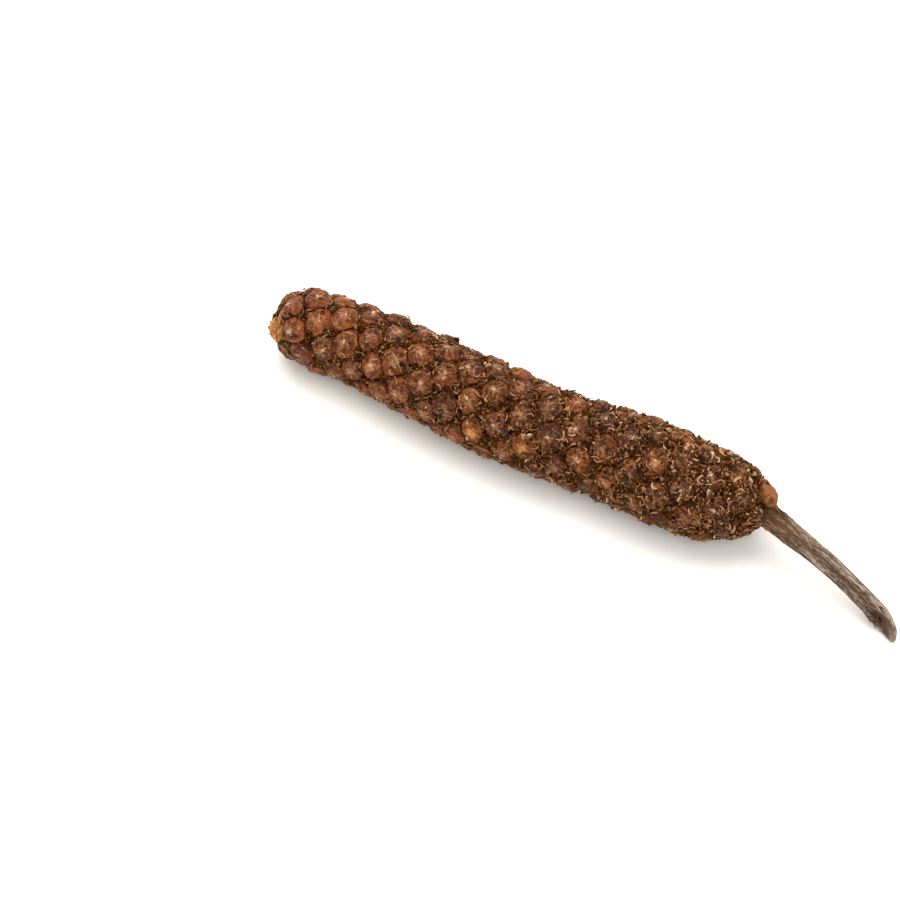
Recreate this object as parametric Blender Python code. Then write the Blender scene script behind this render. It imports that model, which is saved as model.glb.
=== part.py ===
"""Dried long pepper: a fruiting spike of close-set berries on a ridged, bent stalk, lying on a flat surface.

+X runs from the spike's tip to the stalk, +Z is up, and the origin is under the middle of the whole pepper.
"""

import math
import random

import bmesh
import bpy
import numpy as np
from mathutils import Euler, Matrix, Vector

MM = 0.001

# Driving dimensions of the spike
SPIKE_LENGTH = 45.0 * MM
TIP_ROUNDING = 4.3 * MM  # length over which the tip closes
BASE_ROUNDING = 6.4 * MM
ROUNDING_POWER = 2.2  # 2 is an ellipse, and more is blunter
SURFACE_SINK = 0.2 * MM  # how much of the lowest berries is pressed flat by the surface

# Radius over the berries, without the rounded ends: share of the length from the tip, and radius
BODY_RADII = ((0.0, 3.4 * MM), (0.15, 3.48 * MM), (0.3, 3.76 * MM), (0.48, 3.87 * MM), (0.64, 3.8 * MM),
              (0.78, 4.02 * MM), (0.9, 3.88 * MM), (1.0, 3.75 * MM))

# Side sway of the spike's axis: share of the length from the tip, and offset towards +Y
AXIS_SWAY = ((0.0, 0.8 * MM), (0.18, 0.85 * MM), (0.33, 0.15 * MM), (0.52, -0.6 * MM), (0.72, -0.3 * MM),
             (0.86, -0.5 * MM), (1.0, 0.2 * MM))

# Berries
BERRY_AREA = 6.0 * MM**2  # skin of the spike that one berry takes
TURN_PER_BERRY = math.radians(99.5)  # gives 4 and 7 spiral rows
FIRST_TURN = math.radians(228)
FINE_STATIONS = 4001  # sections over which the skin's area is summed
BERRY_HALF_WIDTH = 1.5 * MM
BERRY_HALF_HEIGHT = 1.15 * MM
BERRY_SIZE_SPREAD = 0.07
BERRY_LIFT_SPREAD = 0.09 * MM
BERRY_DRIFT = 0.12 * MM
BERRY_SIDES = 7
BERRY_RINGS = 5
CORE_UNDER_BERRIES = 0.85 * MM  # depth of the pits between four berries
SEED = 7

# The core that the berries stand out of
CORE_STARTS = 0.6 * MM  # from the tip
CORE_ENDS = 0.5 * MM  # from the base
CORE_LEAST_RADIUS = 0.8 * MM
CORE_SECTIONS = 13
CORE_ROUNDNESS = 3  # bevel resolution

# Driving dimensions of the stalk
STALK_RADIUS = 0.8 * MM
STALK_RIDGES = 6
RIDGE_HEIGHT = 0.09  # share of the radius
POINTS_A_RIDGE = 3
STALK_SECTIONS = 19
SEAT_GAP = 0.25 * MM  # round the stalk, where it stands in the spike
SEAT_CUTTER_LENGTH = 9 * MM
SEAT_SIDES = 14
SNAP_LENGTH = 3.4 * MM
SNAP_WIDTH = 1.6 * MM
SNAP_RUN_IN = 0.77  # share of the cut that lies before the stalk's end
SNAP_TURN = math.radians(-5)

# The stalk's centre line in mm: X and Y from the spike's base, height above the surface, and its thickness
STALK_LINE = (
    (-1.9, 0.45, 3.5, 1.2),
    (0.0, -0.15, 3.45, 1.18),
    (2.45, -0.9, 3.2, 1.1),
    (5.1, -1.55, 2.7, 1.02),
    (7.6, -2.25, 2.05, 0.97),
    (9.9, -3.05, 1.4, 0.96),
    (11.2, -3.6, 1.05, 0.98),
    (12.3, -4.3, 0.8, 0.92),
)
STALK_REACH = STALK_LINE[-1][0] * MM
TIP_X = -(SPIKE_LENGTH + STALK_REACH) / 2

SURFACE_BLOCK = Vector((90, 30, 10)) * MM  # larger than the pepper each way, with its top at the surface
SHARP_EDGE = math.radians(50)
BERRY_COLOUR = (0.19, 0.075, 0.032)
BERRY_ROUGHNESS = 0.55
BARK_COLOUR = (0.22, 0.155, 0.1)
BARK_ROUGHNESS = 0.75


def smooth_through(knots, share):
    """Cubic through (share, value) knots."""
    at = [k[0] for k in knots]
    values = [k[1] for k in knots]
    slopes = np.gradient(values, at)
    i = min(max(int(np.searchsorted(at, share)) - 1, 0), len(at) - 2)
    step = at[i + 1] - at[i]
    t = (share - at[i]) / step
    return ((2 * t**3 - 3 * t**2 + 1) * values[i] + (t**3 - 2 * t**2 + t) * step * slopes[i]
            + (3 * t**2 - 2 * t**3) * values[i + 1] + (t**3 - t**2) * step * slopes[i + 1])


def body_radius(s):
    """Radius over the berries at distance s from the tip, without the rounded ends."""
    return smooth_through(BODY_RADII, s / SPIKE_LENGTH)


def end_rounding(distance, length):
    """1 along the body, falling to 0 at the end itself."""
    inward = 1 - min(max(distance / length, 0.0), 1.0)
    return (1 - inward**ROUNDING_POWER) ** (1 / ROUNDING_POWER)


def outer_radius(s):
    return body_radius(s) * end_rounding(s, TIP_ROUNDING) * end_rounding(SPIKE_LENGTH - s, BASE_ROUNDING)


def axis_point(s):
    sway = smooth_through(AXIS_SWAY, s / SPIKE_LENGTH)
    return Vector((TIP_X + s, sway, body_radius(s) - SURFACE_SINK))


def skin_point(s, turn):
    """Point on the skin over the berries, and the skin's outward direction there."""
    small_step = 0.02 * MM
    s_low = max(s - small_step, 0.0)
    s_high = min(s + small_step, SPIKE_LENGTH)
    slope = (outer_radius(s_high) - outer_radius(s_low)) / (s_high - s_low)
    across = Vector((0, math.cos(turn), math.sin(turn)))
    outward = Vector((-slope, across.y, across.z)).normalized()
    return axis_point(s) + across * outer_radius(s), outward


def berry_stations():
    """Distances from the tip that give each berry the same area of skin."""
    s = np.linspace(0, SPIKE_LENGTH, FINE_STATIONS)
    r = np.array([outer_radius(x) for x in s])
    bands = math.pi * (r[1:] + r[:-1]) * np.hypot(np.diff(s), np.diff(r))
    area = np.concatenate([[0], np.cumsum(bands)])
    count = round(area[-1] / BERRY_AREA)
    return np.interp((np.arange(count) + 0.5) / count * area[-1], area, s)


def material(name, colour, roughness):
    made = bpy.data.materials.new(name)
    made.use_nodes = True
    shader = made.node_tree.nodes["Principled BSDF"]
    shader.inputs["Base Color"].default_value = (*colour, 1)
    shader.inputs["Roughness"].default_value = roughness
    shader.inputs["Metallic"].default_value = 0
    return made


def collection(name):
    made = bpy.data.collections.new(name)
    bpy.context.scene.collection.children.link(made)
    return made


def linked(name, data, group):
    made = bpy.data.objects.new(name, data)
    group.objects.link(made)
    return made


def mesh_of_curve(curve_object, name, group):
    """The curve's evaluated tube as a closed mesh object."""
    bpy.context.view_layer.update()
    graph = bpy.context.evaluated_depsgraph_get()
    data = bpy.data.meshes.new_from_object(curve_object.evaluated_get(graph))
    closed = bmesh.new()
    closed.from_mesh(data)
    bmesh.ops.remove_doubles(closed, verts=closed.verts, dist=0.001 * MM)
    bmesh.ops.recalc_face_normals(closed, faces=closed.faces)
    closed.to_mesh(data)
    closed.free()
    made = linked(name, data, group)
    made.matrix_world = curve_object.matrix_world
    bpy.data.objects.remove(curve_object)
    return made


def tube(name, points, thicknesses, group):
    """A poly line with a radius at each point; its bevel is set by the caller."""
    data = bpy.data.curves.new(name, "CURVE")
    data.dimensions = "3D"
    data.use_fill_caps = True
    line = data.splines.new("POLY")
    line.points.add(len(points) - 1)
    for target, point, thickness in zip(line.points, points, thicknesses):
        target.co = (*point, 1)
        target.radius = thickness
    return linked(name, data, group)


def core(group):
    """The spike's axis, which the berries grow from and which floors the pits between them."""
    stations = np.linspace(CORE_STARTS, SPIKE_LENGTH - CORE_ENDS, CORE_SECTIONS)
    points = [axis_point(s) for s in stations]
    radii = [max(outer_radius(s) - CORE_UNDER_BERRIES, CORE_LEAST_RADIUS) / MM for s in stations]
    line = tube("core_line", points, radii, group)
    line.data.bevel_depth = MM
    line.data.bevel_resolution = CORE_ROUNDNESS
    return mesh_of_curve(line, "fruit_spike", group)


def berry_mesh(name):
    """A berry pressed wider than it is high, its pole at the top, where the flower's scar sits."""
    data = bpy.data.meshes.new(name)
    ball = bmesh.new()
    bmesh.ops.create_uvsphere(ball, u_segments=BERRY_SIDES, v_segments=BERRY_RINGS, radius=BERRY_HALF_WIDTH)
    bmesh.ops.scale(ball, vec=(1, 1, BERRY_HALF_HEIGHT / BERRY_HALF_WIDTH), verts=ball.verts)
    ball.to_mesh(data)
    ball.free()
    return data


def berries(group):
    """Berries set in spiral rows, each with its roots sunk well into the core."""
    draw = random.Random(SEED)
    data = berry_mesh("berry")
    for number, station in enumerate(berry_stations()):
        size = 1 + BERRY_SIZE_SPREAD * draw.uniform(-1, 1)
        lift = BERRY_LIFT_SPREAD * draw.uniform(-1, 1)
        drift = BERRY_DRIFT * draw.uniform(-1, 1)
        turn = FIRST_TURN + number * TURN_PER_BERRY + drift / body_radius(0)
        skin, outward = skin_point(float(station), turn)
        berry = linked(f"berry_{number:03d}", data, group)
        berry.location = skin + outward * (lift - BERRY_HALF_HEIGHT * size)
        spin = Matrix.Rotation(draw.uniform(0, math.tau), 4, "Z")
        berry.rotation_euler = (outward.to_track_quat("Z", "Y").to_matrix().to_4x4() @ spin).to_euler()
        berry.scale = (size, size, size)


def apply_modifiers(target):
    bpy.context.view_layer.update()
    graph = bpy.context.evaluated_depsgraph_get()
    data = bpy.data.meshes.new_from_object(target.evaluated_get(graph))
    target.modifiers.clear()
    target.data = data


def keep_outer_skin(target):
    """Fills the small hollows that touching berries seal, and drops scraps, by keeping the largest shell."""
    skin = bmesh.new()
    skin.from_mesh(target.data)
    unseen = set(skin.verts)
    shells = []
    while unseen:
        shell = set()
        waiting = [next(iter(unseen))]
        while waiting:
            vertex = waiting.pop()
            if vertex in shell:
                continue
            shell.add(vertex)
            waiting.extend(edge.other_vert(vertex) for edge in vertex.link_edges)
        unseen -= shell
        shells.append(shell)
    largest = max(shells, key=len)
    bmesh.ops.delete(skin, geom=[v for v in skin.verts if v not in largest], context="VERTS")
    skin.to_mesh(target.data)
    skin.free()


def join_berries(spike, group):
    """One union of the core with every berry, after which the loose berries go."""
    union = spike.modifiers.new("berries", "BOOLEAN")
    union.operation = "UNION"
    union.solver = "MANIFOLD"
    union.operand_type = "COLLECTION"
    union.collection = group
    apply_modifiers(spike)
    for berry in list(group.objects):
        bpy.data.objects.remove(berry)
    bpy.data.collections.remove(group)


def as_cutter(made, name, group):
    """Keeps a new primitive as a guide that only cuts."""
    made.name = name
    made.hide_render = True
    made.display_type = "WIRE"
    for old in list(made.users_collection):
        old.objects.unlink(made)
    group.objects.link(made)
    return made


def box_cutter(name, centre, size, turn, group):
    bpy.ops.mesh.primitive_cube_add(size=1, location=centre, rotation=turn)
    bpy.context.object.scale = size
    return as_cutter(bpy.context.object, name, group)


def cut(target, cutter):
    difference = target.modifiers.new(cutter.name, "BOOLEAN")
    difference.operation = "DIFFERENCE"
    difference.solver = "EXACT"
    difference.object = cutter


def stalk_points():
    """The stalk's centre line: rounded through the named points by a smooth cubic."""
    knots = np.array(STALK_LINE)
    along = np.concatenate([[0], np.cumsum(np.linalg.norm(np.diff(knots[:, :3], axis=0), axis=1))])
    along /= along[-1]
    base = Vector((TIP_X + SPIKE_LENGTH, 0, 0))
    made = []
    for share in np.linspace(0, 1, STALK_SECTIONS):
        x, y, z, thickness = (smooth_through(list(zip(along, knots[:, i])), share) for i in range(4))
        made.append((base + Vector((x, y, z)) * MM, thickness))
    return made


def ridge_profile(group):
    """Closed cross-section of the stalk, with ridges round it."""
    count = STALK_RIDGES * POINTS_A_RIDGE
    data = bpy.data.curves.new("ridge_profile", "CURVE")
    data.dimensions = "2D"
    line = data.splines.new("POLY")
    line.points.add(count - 1)
    line.use_cyclic_u = True
    for i, target in enumerate(line.points):
        turn = math.tau * i / count
        reach = STALK_RADIUS * (1 + RIDGE_HEIGHT * math.cos(STALK_RIDGES * turn))
        target.co = (reach * math.cos(turn), reach * math.sin(turn), 0, 1)
    return linked("ridge_profile", data, group)


def stalk(parts, cutters):
    """A bent, ridged stalk, snapped off aslant at its far end."""
    profile = ridge_profile(cutters)
    line = tube("stalk_line", *zip(*stalk_points()), parts)
    line.data.bevel_mode = "OBJECT"
    line.data.bevel_object = profile
    made = mesh_of_curve(line, "stalk", parts)
    bpy.data.objects.remove(profile)
    return made


def snap_cutter(group):
    """Tears the stalk's last stretch down to a tongue, on the side that it bends towards."""
    end = stalk_points()[-1][0]
    turn = Matrix.Rotation(SNAP_TURN, 3, "Z")
    middle = end + turn @ Vector((SNAP_LENGTH * (0.5 - SNAP_RUN_IN), -SNAP_WIDTH / 2, 0))
    return box_cutter("snap_cutter", middle, Vector((SNAP_LENGTH, SNAP_WIDTH, SNAP_LENGTH)),
                      Euler((0, 0, SNAP_TURN)), group)


def seat_cutter(group):
    """The stalk's seat in the spike's base."""
    first, second = (stalk_points()[i][0] for i in (0, 2))
    along = (second - first).normalized()
    radius = STALK_RADIUS * (1 + RIDGE_HEIGHT) * STALK_LINE[0][3] + SEAT_GAP
    bpy.ops.mesh.primitive_cylinder_add(vertices=SEAT_SIDES, radius=radius, depth=SEAT_CUTTER_LENGTH)
    made = bpy.context.object
    made.location = first + along * (SEAT_CUTTER_LENGTH / 2 - SEAT_GAP)
    made.rotation_euler = along.to_track_quat("Z", "Y").to_euler()
    return as_cutter(made, "seat_cutter", group)


def finish(piece, skin):
    piece.data.materials.clear()
    piece.data.materials.append(skin)
    piece.data.shade_smooth()
    piece.data.set_sharp_from_angle(angle=SHARP_EDGE)


def main():
    for old in list(bpy.data.objects):
        bpy.data.objects.remove(old)
    parts = collection("long_pepper")
    cutters = collection("cutters")
    loose_berries = collection("loose_berries")

    block_centre = Vector((0, 0, -SURFACE_BLOCK.z / 2))
    surface = box_cutter("surface_cutter", block_centre, SURFACE_BLOCK, Euler((0, 0, 0)), cutters)
    spike = core(parts)
    berries(loose_berries)
    join_berries(spike, loose_berries)
    cut(spike, seat_cutter(cutters))
    cut(spike, surface)
    apply_modifiers(spike)
    keep_outer_skin(spike)
    finish(spike, material("dried_berry_skin", BERRY_COLOUR, BERRY_ROUGHNESS))

    stem = stalk(parts, cutters)
    cut(stem, snap_cutter(cutters))
    cut(stem, surface)
    finish(stem, material("dry_stalk_bark", BARK_COLOUR, BARK_ROUGHNESS))


main()
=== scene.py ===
# Long pepper, dried: the finish of its berries, bracts, papery shreds and stalk
import math
import random
import bpy
import numpy as np
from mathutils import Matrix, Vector, noise
from mathutils.bvhtree import BVHTree


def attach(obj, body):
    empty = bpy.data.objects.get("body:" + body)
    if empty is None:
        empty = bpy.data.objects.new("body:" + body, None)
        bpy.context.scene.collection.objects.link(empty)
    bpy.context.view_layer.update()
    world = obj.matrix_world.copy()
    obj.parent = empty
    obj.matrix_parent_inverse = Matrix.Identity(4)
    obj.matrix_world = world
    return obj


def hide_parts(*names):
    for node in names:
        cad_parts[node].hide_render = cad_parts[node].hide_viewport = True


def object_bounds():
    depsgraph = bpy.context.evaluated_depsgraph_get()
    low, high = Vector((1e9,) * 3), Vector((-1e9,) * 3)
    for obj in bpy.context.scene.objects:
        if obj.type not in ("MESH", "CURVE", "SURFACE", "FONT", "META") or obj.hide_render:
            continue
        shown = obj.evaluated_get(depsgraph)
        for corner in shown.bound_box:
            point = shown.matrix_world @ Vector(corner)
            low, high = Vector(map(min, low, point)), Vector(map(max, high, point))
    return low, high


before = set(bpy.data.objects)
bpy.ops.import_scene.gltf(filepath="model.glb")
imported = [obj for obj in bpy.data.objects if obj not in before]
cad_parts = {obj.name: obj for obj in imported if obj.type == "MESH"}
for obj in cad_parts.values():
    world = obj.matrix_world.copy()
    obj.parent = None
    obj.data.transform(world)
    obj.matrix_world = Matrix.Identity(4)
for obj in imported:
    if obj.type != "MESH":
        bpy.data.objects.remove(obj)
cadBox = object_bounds()
mm = 0.001  # shapes are worked out in millimetres and stored in metres
body = "root"


def hexToLinear(code, alpha=1.0):
    parts = [int(code[i:i + 2], 16) / 255 for i in (1, 3, 5)]
    return (*[c / 12.92 if c <= 0.04045 else ((c + 0.055) / 1.055) ** 2.4 for c in parts], alpha)


def addNode(tree, kind, inputs=(), ramp=(), out=0, **settings):  # inputs by name or in order
    node = tree.nodes.new("ShaderNode" + kind)
    for name, value in settings.items():
        setattr(node, name, value)
    for name, value in inputs.items() if isinstance(inputs, dict) else enumerate(inputs):
        if isinstance(value, bpy.types.NodeSocket):
            tree.links.new(value, node.inputs[name])
        else:
            node.inputs[name].default_value = value
    for i, (position, colour) in enumerate(ramp):
        stops = node.color_ramp.elements
        stop = stops[i] if i < len(stops) else stops.new(position)
        stop.position = position
        stop.color = hexToLinear(colour)
    return node.outputs[out]


def grain(millimetres):  # a texture scale for features of this size, on coordinates in metres
    return 1 / (millimetres * mm)


def newMaterial(name, look):
    material = bpy.data.materials.new(name)
    material.use_nodes = True
    shader = material.node_tree.nodes["Principled BSDF"]
    for socket, value in look.get("shader", {}).items():
        shader.inputs[socket].default_value = value
    return material, material.node_tree, shader


# The spike that the berries sit on, by the same rule as its solid
spike = {
    "length": 45.0,
    "radii": ((0.0, 3.4), (0.15, 3.48), (0.3, 3.76), (0.48, 3.87), (0.64, 3.8), (0.78, 4.02), (0.9, 3.88),
              (1.0, 3.75)),
    "tipRounding": 4.3,
    "baseRounding": 6.4,
    "roundingPower": 2.2,
    "surfaceSink": 0.2,
    "tipX": -28.65,
    "sway": ((0.0, 0.8), (0.18, 0.85), (0.33, 0.15), (0.52, -0.6), (0.72, -0.3), (0.86, -0.5), (1.0, 0.2)),
    "berryArea": 6.0,
    "turn": math.radians(99.5),
    "firstTurn": math.radians(228),
    "halfHeight": 1.15,
    "sizeSpread": 0.07,
    "liftSpread": 0.09,
    "drift": 0.12,
    "seed": 7,
}


def smoothThrough(knots, share):
    at = np.array([k[0] for k in knots])
    values = np.array([k[1] for k in knots])
    slopes = np.gradient(values, at)
    i = np.clip(np.searchsorted(at, share) - 1, 0, len(at) - 2)
    step = at[i + 1] - at[i]
    t = (share - at[i]) / step
    return ((2 * t**3 - 3 * t**2 + 1) * values[i] + (t**3 - 2 * t**2 + t) * step * slopes[i]
            + (3 * t**2 - 2 * t**3) * values[i + 1] + (t**3 - t**2) * step * slopes[i + 1])


def bodyRadius(s):
    return smoothThrough(spike["radii"], s / spike["length"])


def endRounding(distance, length):
    power = spike["roundingPower"]
    return (1 - (1 - np.clip(distance / length, 0, 1)) ** power) ** (1 / power)


def outerRadius(s):
    return (bodyRadius(s) * endRounding(s, spike["tipRounding"])
            * endRounding(spike["length"] - s, spike["baseRounding"]))


def axisPoint(s):
    sway = smoothThrough(spike["sway"], s / spike["length"])
    return np.array([spike["tipX"] + s, sway, bodyRadius(s) - spike["surfaceSink"]])


def skinPoint(s, turn):  # a point over the berries, and the way out there
    step = 0.02
    low, high = max(s - step, 0.0), min(s + step, spike["length"])
    slope = (outerRadius(high) - outerRadius(low)) / (high - low)
    across = np.array([0, math.cos(turn), math.sin(turn)])
    outward = np.array([-slope, across[1], across[2]])
    return axisPoint(s) + across * outerRadius(s), outward / np.linalg.norm(outward)


def skinArea():
    s = np.linspace(0, spike["length"], 4001)
    r = outerRadius(s)
    bands = math.pi * (r[1:] + r[:-1]) * np.hypot(np.diff(s), np.diff(r))
    return s, np.concatenate([[0], np.cumsum(bands)])


fineStations, areaToStation = skinArea()
berryCount = round(areaToStation[-1] / spike["berryArea"])


def stationOf(number):  # distance from the tip of berry number, which may lie between two berries
    return float(np.interp((number + 0.5) / berryCount * areaToStation[-1], areaToStation, fineStations))


def unit(way):
    return way / np.linalg.norm(way)


def sideways(outward):  # two directions in the skin: towards the stalk, and round the spike
    along = np.array([1.0, 0, 0]) - outward * outward[0]
    if np.linalg.norm(along) < 0.2:
        along = np.array([0, 0, 1.0]) - outward * outward[2]
    along = unit(along)
    return along, np.cross(outward, along)


# The stalk: its centre line, from the base in X and Y, height, and thickness
stem = {
    "line": ((-1.9, 0.45, 3.5, 1.2), (0.0, -0.15, 3.45, 1.18), (2.45, -0.9, 3.2, 1.1),
             (5.1, -1.55, 2.7, 1.02), (7.6, -2.25, 2.05, 0.97), (9.9, -3.05, 1.4, 0.96),
             (11.2, -3.6, 1.05, 0.98), (12.3, -4.3, 0.8, 0.92)),
    "steps": 240,  # of its centre line
    "radius": 0.8,
    "sections": 190,
    "sides": 110,
    "tornLength": 0.16,  # share of the length that the break runs back
    "tornTurn": math.radians(25),  # the side where the bark is torn away
    "tornWidth": 1.25,  # in radians, as all widths here
    "endTaper": 0.3,
    "taperFrom": 0.975,
    # noises of its surface: how fine they are round it, how drawn out, and a shift of their own
    "coarse": (2.6, 3.0, 0.0),
    "fibres": (9.0, 1.0, 20.0),
    "grainy": (12.0, 0.35, 40.0),
    "relief": (0.06, 0.055, 0.02),  # their heights
    "greyness": (0.5, 1.0, 0.9, 0.22),  # how far each shows in the bark's grey, and the paler upward side
    "furrowTurn": math.radians(55),
    "furrowWidth": (0.2, 0.3),  # at the root, and how much it gains
    "furrowDepth": 0.13,
    "paleSideTurn": math.radians(125),  # the paler, greyer side, which faces up
    "tongueTurn": math.radians(165),  # the far side, whose bark bends over at the end
    "tongueWidth": 1.0,
    "tongueFrom": 0.86,
    "tongueBend": (0.05, -0.35, -0.6),
    # rings that close the break: size and depth in its hollow, then reach over the tongue and bulge
    "breakRings": ((0.93, 0.0, 0.2, 0.13), (0.82, 0.04, 0.55, 0.2), (0.66, 0.3, 0.95, 0.06),
                   (0.4, 0.75, 1.15, -0.4), (0.18, 0.9, 1.2, -0.8)),
    "hollowDepth": 0.95,
    "hollowRoughness": 0.16,
}


def stemLine(shares):
    knots = np.array(stem["line"])
    along = np.concatenate([[0], np.cumsum(np.linalg.norm(np.diff(knots[:, :3], axis=0), axis=1))])
    along /= along[-1]
    values = [smoothThrough(list(zip(along, knots[:, i])), shares) for i in range(4)]
    base = np.array([spike["tipX"] + spike["length"], 0, 0])
    return base + np.stack(values[:3], axis=-1), values[3]


# Meshes are gathered as lists, with one value a point for each finish
def newShape():
    return {"points": [], "faces": [], "count": 0, "values": {}}


def addTo(shape, points, faces, **values):
    shape["points"].append(points)
    shape["faces"].extend([tuple(i + shape["count"] for i in face) for face in faces])
    for name, value in values.items():
        shape["values"].setdefault(name, []).append(np.broadcast_to(value, len(points)).astype(float))
    shape["count"] += len(points)


def makePiece(name, shape, material, node, floorGap=0.004, proud=0.12):
    low, high = np.array(cadBox[0]) / mm - proud, np.array(cadBox[1]) / mm + proud
    low[2] = floorGap  # pressed flat where it meets the surface
    points = np.clip(np.concatenate(shape["points"]), low, high)  # no shred sticks out further
    mesh = bpy.data.meshes.new(name)
    mesh.from_pydata((points * mm).tolist(), [], shape["faces"])
    for value, parts in shape["values"].items():
        layer = mesh.attributes.new(value, "FLOAT", "POINT")
        layer.data.foreach_set("value", np.concatenate(parts))
    mesh.shade_smooth()
    piece = bpy.data.objects.new(name, mesh)
    bpy.context.scene.collection.objects.link(piece)
    mesh.materials.append(material)
    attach(piece, body)
    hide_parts(node)
    triangles = sum(len(face) - 2 for face in shape["faces"])
    print("made", name, "with", triangles, "triangles")


def roughness(points, size, shift=0.0):  # smooth noise from -1 to 1, with lumps of this many mm
    return np.array([noise.noise(Vector(p)) for p in points / size + shift])


def gridFaces(rows, columns):
    faces = []
    for i in range(rows - 1):
        for j in range(columns):
            k = (j + 1) % columns
            faces.append((i * columns + j, (i + 1) * columns + j, (i + 1) * columns + k, i * columns + k))
    return faces


def closedFaces(rows, columns):  # rings, closed by a point before the first and one after the last
    faces = gridFaces(rows, columns)
    first, last = rows * columns, (rows - 1) * columns
    for j in range(columns):
        k = (j + 1) % columns
        faces += [(first, j, k), (first + 1, last + k, last + j)]
    return faces


# The camera looks down on the pepper as the photograph does
viewpoint = {
    "azimuth": math.radians(27.72),
    "elevation": math.radians(50),
    "distance": 203.21,
    "lookAt": np.array([-10.07, -3.2, 0.0]),
    "lens": 100,
    "sensor": 36,
    "nearest": 2,
    "frameSize": 900,
}


def viewAxes():
    a, e = viewpoint["azimuth"], viewpoint["elevation"]
    right = np.array([math.cos(a), math.sin(a), 0])
    back = np.array([math.sin(a) * math.cos(e), -math.cos(a) * math.cos(e), math.sin(e)])
    return right, np.cross(back, right), back


def pixelOf(point):
    right, up, back = viewAxes()
    seen = point - (viewpoint["lookAt"] + back * viewpoint["distance"])
    scale = viewpoint["lens"] / viewpoint["sensor"] * viewpoint["frameSize"] / -(seen @ back)
    middle = viewpoint["frameSize"] / 2
    return np.array([middle + (seen @ right) * scale, middle - (seen @ up) * scale])


def setCamera():
    back = viewAxes()[2]
    camera = bpy.data.objects.new("camera", bpy.data.cameras.new("camera"))
    camera.data.lens = viewpoint["lens"]
    camera.data.sensor_width = viewpoint["sensor"]
    camera.data.clip_start = viewpoint["nearest"] * mm
    camera.location = Vector((viewpoint["lookAt"] + back * viewpoint["distance"]) * mm)
    camera.rotation_euler = Vector(back).to_track_quat("Z", "Y").to_euler()
    bpy.context.scene.collection.objects.link(camera)
    bpy.context.scene.camera = camera


# Berries: dried drupes, pressed against their neighbours and shrivelled, more so towards the stalk
berryLook = {
    "pieces": 4,
    "sides": 50,
    "rings": 24,
    "lowestAngle": math.radians(112),
    "halfWidth": 1.36,
    "halfHeight": 1.15,
    "squash": 0.09,
    "contactGap": 0.02,
    "shoulder": 0.09,  # how softly a top turns down into the groove
    "neighbourReach": 3.9,
    "lump": 0.09,
    "lumpSize": 0.8,
    "wrinkle": 0.3,
    "wrinkleSize": 0.55,
    "crinkle": 0.12,
    "crinkleSize": 0.3,
    "sharpness": 2.4,  # of the wrinkles' ridges
    "pleat": 0.035,  # wrinkles that run out from the scar
    "pleatRing": (0.6, 0.35),  # how far out they lie, and how widely
    "rayRing": (0.5, 0.4),
    "dipRing": (0, 0.3),
    "apexRing": (0, 0.5),
    "scarDip": 0.09,
    "leastFacing": 0.05,
    "wrinkledPatches": (0.45, 1.6),  # how much of a berry is wrinkled, and how sharply that changes
    "ridgeMiddle": 0.7,
    "bottomDepth": 0.45,
    "fine": 0.035,
    "fineSize": 0.16,
    "grooveDepth": 0.75,
    "stalkClearance": 1.0,
    "seed": 21,
    "scarsAtTip": 0.95,
    "scarsLost": 0.55,
    "shrivelled": (0.15, 0.1, 0.95, 0.35),  # least, at the tip, gained by the base, spread
    "ochre": (((480, 428), 1.0), ((525, 447), 0.55), ((672, 468), 0.45)),  # dried amber or ochre at the top
    "plumpPixel": (776, 482),  # the smooth one that stands out at the base
    "plumpLift": 0.3,
    "plumpShift": 0.7,
    "plumpSize": 0.94,
    "tipGlow": 0.75,  # the berries nearer the tip are a little lighter
    "capPixel": (279, 320),  # the tip's golden one
}


def nearestBerry(berries, pixel):
    seen = [b for b in berries if b["outward"] @ viewAxes()[2] > 0.2]
    return min(seen, key=lambda b: np.linalg.norm(pixelOf(b["top"]) - pixel))


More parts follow.
